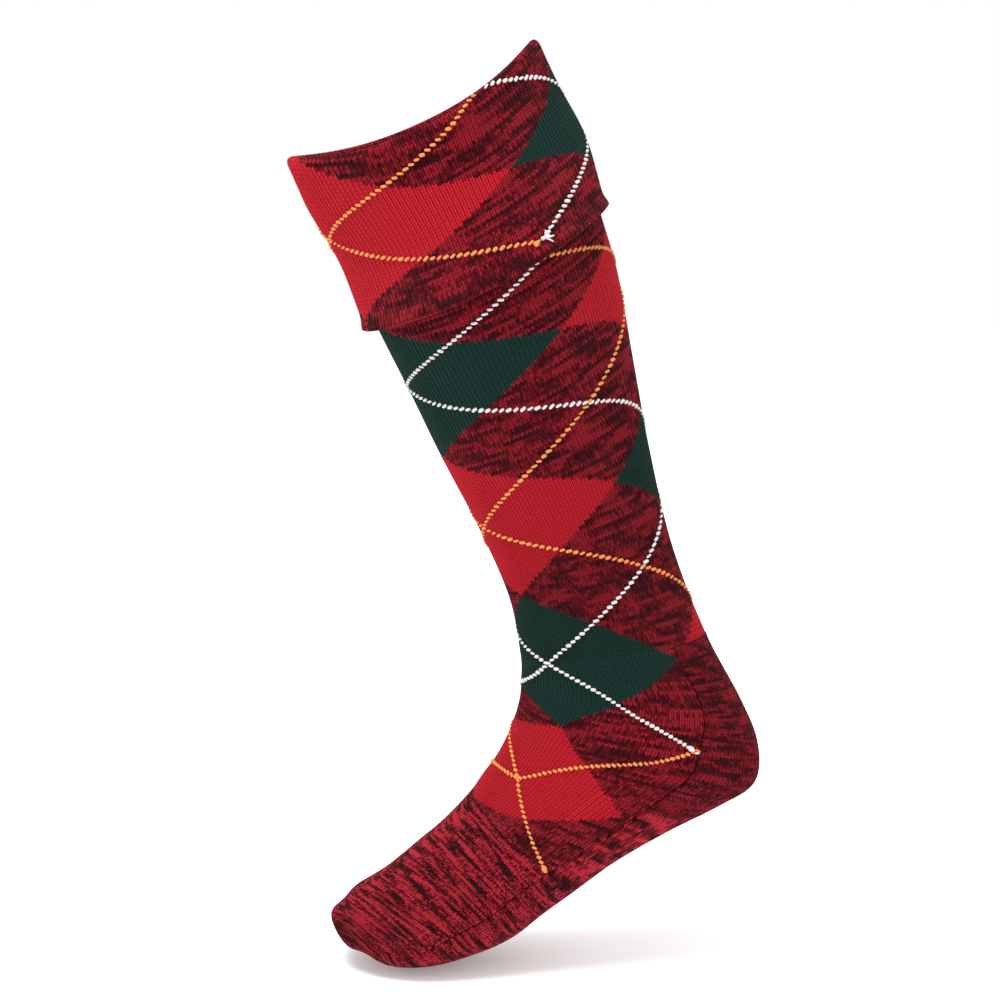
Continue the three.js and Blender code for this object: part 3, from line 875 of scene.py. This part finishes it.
def knot(part, row, column, lumps):
    """A knot of short lumps turned different ways round a point. Those after KNOT_LUMPS are cut ends."""
    end = HEM_LEVEL if part == "cuff" else TOE_START
    level, _ = level_of(part, np.array([row]), np.array([column]), 0, end)
    around = angle_of(part, level, np.array([column]))
    outward, to_mouth, roundabout = (np.repeat(d, lumps, 0) for d in directions(level, around))
    turn = KNOT_TURNS[:lumps]
    tail = np.arange(lumps) >= KNOT_LUMPS
    aside = to_mouth * np.sin(turn)[:, None] + roundabout * np.cos(turn)[:, None]
    middle = outside_of(part, level, around, KNOT_HEIGHT)
    middle = middle + aside * KNOT_SPREAD * np.where(tail, TAIL_OFF, KNOT_OFF)[:, None]
    middle = middle + outward * (tail * TAIL_LIFT)[:, None]
    return lumps_at(middle, roundabout, outward, turn, np.where(tail, TAIL_LENGTH, KNOT_LENGTH),
                    np.where(tail, TAIL_SIZE, KNOT_SIZE))


def overcheck(colour):
    """All stitches of one colour, on the cuff and on the leg and instep, as one piece."""
    made = []
    for part, lines in (("cuff", CUFF_LINES), ("leg", LEG_LINES)):
        for first_row in lines[colour]:
            for slope in (1, -1):
                for level, around in line_runs(part, first_row, slope):
                    made.append(stitches_along(part, level, around, STITCH_TILT * slope))
    made += [knot(*place) for place in KNOTS[colour]]
    lumps = np.concatenate(made)
    points, quads, uv = join_stitches(colour, lumps)
    print(colour, "stitches:", len(lumps))
    return mesh_piece("overcheck_" + colour, points, quads, {"strand": uv})


white_lines = overcheck("white")
gold_lines = overcheck("gold")

# %% [markdown]
# ## Materials
# Everything here is soft wool-blend yarn: matt, with a faint sheen from fibres that stand off it. What the
# eye reads as knit is the dark gap between stitches, so each material paints shade into its colour where
# the stitch is low and a highlight where it is high, and raises the stitch with bump. An image of knit could
# do the same, but a pattern of nodes stays sharp at any size.

# %% Node and colour helpers
ROUGHNESS, GLOSS = 0.9, 0.02
SHEEN, SHEEN_ROUGHNESS = 0.03, 0.5


def add(tree, kind, *values, named=None, **settings):
    """A node with its settings, and its first output.

    Its inputs are given in order or by name, each as a number or as the output of another node.
    """
    node = tree.nodes.new("ShaderNode" + kind)
    for key, value in settings.items():
        setattr(node, key, value)
    for key, value in [*enumerate(values), *(named or {}).items()]:
        if isinstance(value, bpy.types.NodeSocket):
            tree.links.new(value, node.inputs[key])
        elif value is not None:
            node.inputs[key].default_value = value
    return node.outputs[0]


def linear(code):
    """An sRGB hex colour such as #B8262F as linear red, green, blue and alpha."""
    parts = [int(code[k:k + 2], 16) / 255 for k in (1, 3, 5)]
    return (*[c / 12.92 if c <= 0.04045 else ((c + 0.055) / 1.055) ** 2.4 for c in parts], 1)


def new_material(name):
    """A wool-blend surface: rough, with a faint sheen of loose fibres and hardly any gloss."""
    material = bpy.data.materials.new(name)
    material.use_nodes = True
    tree = material.node_tree
    shader = tree.nodes["Principled BSDF"]
    shader.inputs["Roughness"].default_value = ROUGHNESS
    shader.inputs["Sheen Weight"].default_value = SHEEN
    shader.inputs["Sheen Roughness"].default_value = SHEEN_ROUGHNESS
    shader.inputs["Specular IOR Level"].default_value = GLOSS
    return material, tree, shader


# %% Stitches of the knit
BEND = 1.1
ARCH_SHARE = 0.6
GAP_SHADE = (0.3, 0.5, 1.0, 0.62)


def knit_cells(tree):
    """Sockets of the stitch pattern: wale, course, fractions, height, gap, and a chance for each V leg.

    A course bends to a V in each wale: its fraction is that of the course number plus BEND times the
    distance from the middle of the wale. The height is a rounded strand along each leg of the V, ARCH_SHARE
    of it arched from stitch to stitch. The gap is painted shade toward the edges of each wale: GAP_SHADE
    holds the two distances between which that shade falls, and then the shade at each.
    """
    knit = add(tree, "UVMap", uv_map="knit")
    wale = add(tree, "SeparateXYZ", knit)
    course = wale.node.outputs["Y"]
    across = add(tree, "Math", wale, operation="FRACT")
    from_middle = add(tree, "Math", across, 0.5, operation="SUBTRACT")
    from_middle = add(tree, "Math", from_middle, operation="ABSOLUTE")
    bent = add(tree, "Math", from_middle, BEND, course, operation="MULTIPLY_ADD")
    row = add(tree, "Math", bent, operation="FLOOR")
    along = add(tree, "Math", bent, operation="FRACT")
    side = add(tree, "Math", add(tree, "Math", wale, 2.0, operation="MULTIPLY"), operation="FLOOR")
    chance = add(tree, "TexWhiteNoise", add(tree, "CombineXYZ", side, row), noise_dimensions="2D")
    arch = add(tree, "Math", add(tree, "Math", along, math.pi, operation="MULTIPLY"), operation="SINE")
    strand = add(tree, "Math", across, 2 * math.pi, operation="MULTIPLY")
    strand = add(tree, "Math", strand, operation="SINE")
    strand = add(tree, "Math", strand, operation="ABSOLUTE")
    height = add(tree, "Math", arch, strand, operation="MULTIPLY")
    flat_part = add(tree, "Math", strand, 1 - ARCH_SHARE, operation="MULTIPLY")
    height = add(tree, "Math", height, ARCH_SHARE, flat_part, operation="MULTIPLY_ADD")
    # Painted shade toward the edges of each wale, in the gaps between wales.
    gap = add(tree, "MapRange", from_middle, *GAP_SHADE)
    return {"wale": wale, "across": across, "row": row, "along": along, "chance": chance, "height": height,
            "gap": gap}


# %% Colours of the marl
LEG_MARL = ("#390A12", "#5D0F18", "#891925")
# The foot's marl is the leg's yarn painted lighter: painted light, as the foot is lit more brightly than the
# leg and heel.
LIT_FOOT_MARL = ("#30090F", "#761522", "#BC2A39")
LEG_STREAK = (11.0, 1.5)
FOOT_STREAK = (14.0, 2.1)
STREAK_NOISE = {"Scale": 1.0, "Detail": 1.5, "Roughness": 0.55}
STITCH_CHANCE = 0.24
DARK_EDGE, RED_EDGE = (0.36, 0.48), (0.49, 0.62)


def marl_colour(tree, cells, tones, streak_size):
    """Colour of a marl yarn: two strands twisted together, so it changes from red to near-black.

    Noise that is long along the course decides the strand, and a chance for each stitch sets the edges of
    the streaks in whole stitches. Near-black, maroon and red follow each other. The size of a streak is
    given in wales and courses.
    """
    wales, courses = streak_size
    place = add(tree, "CombineXYZ", add(tree, "Math", cells["wale"], wales, operation="DIVIDE"),
                add(tree, "Math", cells["row"], courses, operation="DIVIDE"))
    streak = add(tree, "TexNoise", place, named=STREAK_NOISE, noise_dimensions="2D")
    jitter = add(tree, "Math", add(tree, "Math", cells["chance"], 0.5, operation="SUBTRACT"), STITCH_CHANCE,
                 streak, operation="MULTIPLY_ADD")
    dark_to_maroon = add(tree, "MapRange", jitter, *DARK_EDGE, 0.0, 1.0, interpolation_type="SMOOTHSTEP")
    maroon_to_red = add(tree, "MapRange", jitter, *RED_EDGE, 0.0, 1.0, interpolation_type="SMOOTHSTEP")
    dark, maroon, red = (linear(tone) for tone in tones)
    return add(tree, "MixRGB", maroon_to_red, add(tree, "MixRGB", dark_to_maroon, dark, maroon), red)


# %% Finish of the knit
FIBRE_GRAIN = MM / 1.4
FIBRE_DETAIL = 2.0
FIBRE_RANGE = (0.3, 0.7)
FIBRE_SHADE, FIBRE_ROUGHNESS = (0.84, 1.12), (0.85, 1.0)
# Painted shade where a stitch is low and painted highlight where it is high.
STITCH_SHADE_AND_HIGHLIGHT = (0.1, 0.9, 0.55, 1.2)
FIBRE_BUMP = 0.2
BUMP_STRENGTH, BUMP_DEPTH = 0.9, 0.7 * MM


def finish_knit(tree, shader, cells, colour):
    """Darken the gaps between stitches, add fibre noise, and set the colour, roughness and bump.

    The darkening is painted shade where a stitch is low and toward the edges of each wale, and its top
    gets a painted highlight. FIBRE_GRAIN is about 0.7 millimetres, coarser than real fibres so that it
    shows.
    """
    place = add(tree, "TexCoord").node.outputs["Object"]
    fibre = add(tree, "TexNoise", place, named={"Scale": 1 / FIBRE_GRAIN, "Detail": FIBRE_DETAIL})
    fibre_shade = add(tree, "MapRange", fibre, *FIBRE_RANGE, *FIBRE_SHADE)
    # Painted shade and highlight from the stitch's height, then painted shade at the wale's edges.
    shade = add(tree, "MapRange", cells["height"], *STITCH_SHADE_AND_HIGHLIGHT)
    shade = add(tree, "Math", shade, fibre_shade, operation="MULTIPLY")
    shade = add(tree, "Math", shade, cells["gap"], operation="MULTIPLY")
    shaded = add(tree, "MixRGB", 1.0, colour, shade, blend_type="MULTIPLY")
    bump_height = add(tree, "Math", fibre, FIBRE_BUMP, cells["height"], operation="MULTIPLY_ADD")
    bump = add(tree, "Bump",
               named={"Strength": BUMP_STRENGTH, "Distance": BUMP_DEPTH, "Height": bump_height})
    tree.links.new(shaded, shader.inputs["Base Color"])
    tree.links.new(add(tree, "MapRange", fibre, *FIBRE_RANGE, *FIBRE_ROUGHNESS), shader.inputs["Roughness"])
    tree.links.new(bump, shader.inputs["Normal"])


# %% Argyle knit
DIAMOND_RED, DIAMOND_GREEN = "#B51C29", "#17312C"
COLUMN_STEP = 1 / 84  # about one wale, in columns
BACK_ROW_END = 2.6
# Rows of the instep over which the marl turns to its lighter, painted-light copy.
FOOT_LIGHT_ROWS = (3.1, 3.6)


def argyle_knit():
    """Wool-blend stocking stitch with red and green diamonds on marl.

    A point is in a diamond where its distance from the nearest whole column plus its distance from the
    nearest whole row is less than a half, with both rounded to whole stitches. Diamonds change colour from
    row to row and from front to back, and end at FOOT_ROW_END on the instep. Between two given rows on the
    instep the marl turns to a lighter copy of the same yarn, which is painted light on the foot.
    """
    material, tree, shader = new_material("argyle_wool_knit")
    cells = knit_cells(tree)
    chart = add(tree, "UVMap", uv_map="chart")
    column = add(tree, "SeparateXYZ", chart)
    row = column.node.outputs["Y"]
    to_middle = add(tree, "Math", cells["across"], 0.5, operation="SUBTRACT")
    column = add(tree, "Math", to_middle, -COLUMN_STEP, column, operation="MULTIPLY_ADD")
    to_middle = add(tree, "Math", cells["along"], 0.5, operation="SUBTRACT")
    row = add(tree, "Math", to_middle, -1 / COURSES_PER_ROW, row, operation="MULTIPLY_ADD")
    side = add(tree, "Math", column, operation="ABSOLUTE")
    to_back = add(tree, "Math", add(tree, "Math", 1.0, side, operation="SUBTRACT"), operation="ABSOLUTE")
    column_off = add(tree, "Math", side, to_back, operation="MINIMUM")
    shifted = add(tree, "Math", row, 0.5, operation="ADD")
    row_off = add(tree, "Math", add(tree, "Math", shifted, operation="FRACT"), 0.5, operation="SUBTRACT")
    row_off = add(tree, "Math", row_off, operation="ABSOLUTE")
    distance = add(tree, "Math", column_off, row_off, operation="ADD")
    inside = add(tree, "Math", distance, 0.5, operation="LESS_THAN")
    inside = add(tree, "Math", inside, add(tree, "Math", row, FOOT_ROW_END, operation="LESS_THAN"),
                 operation="MULTIPLY")
    back = add(tree, "Math", side, 0.5, operation="GREATER_THAN")
    on_foot = add(tree, "Math", row, BACK_ROW_END, operation="GREATER_THAN")
    hidden = add(tree, "Math", back, on_foot, operation="MULTIPLY")
    inside = add(tree, "Math", inside, hidden, operation="SUBTRACT", use_clamp=True)
    turn = add(tree, "Math", add(tree, "Math", shifted, operation="FLOOR"), back, operation="ADD")
    odd = add(tree, "Math", turn, 2.0, operation="FLOORED_MODULO")
    odd = add(tree, "Math", odd, 0.5, operation="GREATER_THAN")
    diamond = add(tree, "MixRGB", odd, linear(DIAMOND_GREEN), linear(DIAMOND_RED))
    # Painted light: between these rows the marl turns to the lighter copy of the same yarn.
    lit_on_instep = add(tree, "MapRange", row, *FOOT_LIGHT_ROWS, 0.0, 1.0)
    marl = add(tree, "MixRGB", lit_on_instep, marl_colour(tree, cells, LEG_MARL, LEG_STREAK),
               marl_colour(tree, cells, LIT_FOOT_MARL, FOOT_STREAK))
    colour = add(tree, "MixRGB", inside, marl, diamond)
    finish_knit(tree, shader, cells, colour)
    return material


def marl_knit(name, tones, streak_size):
    """Wool-blend stocking stitch in the marl yarn alone: soft, matt and streaked along its courses."""
    material, tree, shader = new_material(name)
    cells = knit_cells(tree)
    finish_knit(tree, shader, cells, marl_colour(tree, cells, tones, streak_size))
    return material


# %% Overcheck yarns
# The last number is the share of the colour left in the grooves between plies, as painted shade.
PLY_SCALE, PLY_WAVER, PLY_GROOVE_SHADE = 1.6, 0.6, 0.78
PLY_BUMP, PLY_DEPTH = 0.5, 0.25 * MM
YARN_COLOURS = {"white": "#DFD9D8", "gold": "#E28F50"}


def overcheck_yarn(colour):
    """Two-ply wool-blend yarn: a wave that runs slantwise round the stitch draws the plies."""
    material, tree, shader = new_material(colour + "_wool_yarn")
    strand = add(tree, "UVMap", uv_map="strand")
    plies = add(tree, "TexWave", strand, named={"Scale": PLY_SCALE, "Distortion": PLY_WAVER},
                bands_direction="DIAGONAL")
    base = linear(YARN_COLOURS[colour])
    # Painted shade: the yarn's colour is dimmed where the wave, and so the bump, is low, in the grooves
    # between plies.
    groove_shade = (*[c * PLY_GROOVE_SHADE for c in base[:3]], 1)
    tree.links.new(add(tree, "MixRGB", plies, groove_shade, base), shader.inputs["Base Color"])
    bump = add(tree, "Bump", named={"Strength": PLY_BUMP, "Distance": PLY_DEPTH, "Height": plies})
    tree.links.new(bump, shader.inputs["Normal"])
    return material


# %% Dress the pieces
argyle = argyle_knit()
heel_marl = marl_knit("heel_wool_knit", LEG_MARL, LEG_STREAK)
# The sole and toe wear the lighter copy of the marl, painted light; the heel keeps the leg's tones.
marl = marl_knit("lit_marl_wool_knit", LIT_FOOT_MARL, FOOT_STREAK)
DRESSED = {
    "leg": (leg, argyle, "argyle_knit"),
    "cuff": (cuff, argyle, "argyle_knit"),
    "instep": (instep, argyle, "argyle_knit"),
    "heel": (heel, heel_marl, "marl_knit"),
    "sole": (sole, marl, "marl_knit"),
    "toe": (toe, marl, "marl_knit"),
}
for node_name, (piece, material, slot) in DRESSED.items():
    piece.data.materials.append(material)
    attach(piece, "root")
    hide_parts(node_name)
for colour, piece in (("white", white_lines), ("gold", gold_lines)):
    piece.data.materials.append(overcheck_yarn(colour))
    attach(piece, "root")
print("dressed pieces:", len(DRESSED) + len(YARN_COLOURS))

# %% [markdown]
# ## Floor and light
# The sock stands on its toe on a white floor in soft light from all round, with one large light high above
# the toe's side. The floor is pale and plain, and takes a soft shadow under the foot.

# %% Floor and light
FLOOR_SIZE = 6
FLOOR_GAP = 0.2 * MM
FLOOR_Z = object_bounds()[0][2] - FLOOR_GAP
FLOOR_GLOW = 0.2
KEY_PLACE, KEY_SIZE, KEY_POWER = (-0.6, -0.5, 2.1), 1.2, 66
SKY_STRENGTH = 1.0


def make_floor():
    """A square of white paper, which glows a little so that it stays white in the sock's shade."""
    half = FLOOR_SIZE / 2
    mesh = bpy.data.meshes.new("floor")
    corners = [(x * half, y * half, FLOOR_Z) for x, y in ((-1, -1), (1, -1), (1, 1), (-1, 1))]
    mesh.from_pydata(corners, [], [(0, 1, 2, 3)])
    floor = bpy.data.objects.new("floor", mesh)
    bpy.context.scene.collection.objects.link(floor)
    material = bpy.data.materials.new("white_paper")
    material.use_nodes = True
    shader = material.node_tree.nodes["Principled BSDF"]
    shader.inputs["Base Color"].default_value = linear("#FAFAFA")
    shader.inputs["Roughness"].default_value = ROUGHNESS
    shader.inputs["Emission Color"].default_value = (1, 1, 1, 1)
    shader.inputs["Emission Strength"].default_value = FLOOR_GLOW
    mesh.materials.append(material)
    return floor


def area_light(name, place, size, power):
    """A square area light at a place, turned toward the middle of the sock."""
    data = bpy.data.lights.new(name, "AREA")
    data.size = size
    data.energy = power
    light = bpy.data.objects.new(name, data)
    light.location = place
    light.rotation_euler = (LOOKS_AT - Vector(place)).to_track_quat("-Z", "Y").to_euler()
    bpy.context.scene.collection.objects.link(light)


make_floor()
area_light("key", KEY_PLACE, KEY_SIZE, KEY_POWER)
print("floor in mm:", round(FLOOR_Z / MM, 1))
world = bpy.data.worlds.new("studio")
world.use_nodes = True
world.node_tree.nodes["Background"].inputs["Color"].default_value = (1, 1, 1, 1)
world.node_tree.nodes["Background"].inputs["Strength"].default_value = SKY_STRENGTH
bpy.context.scene.world = world
bpy.context.scene.view_settings.view_transform = "Standard"
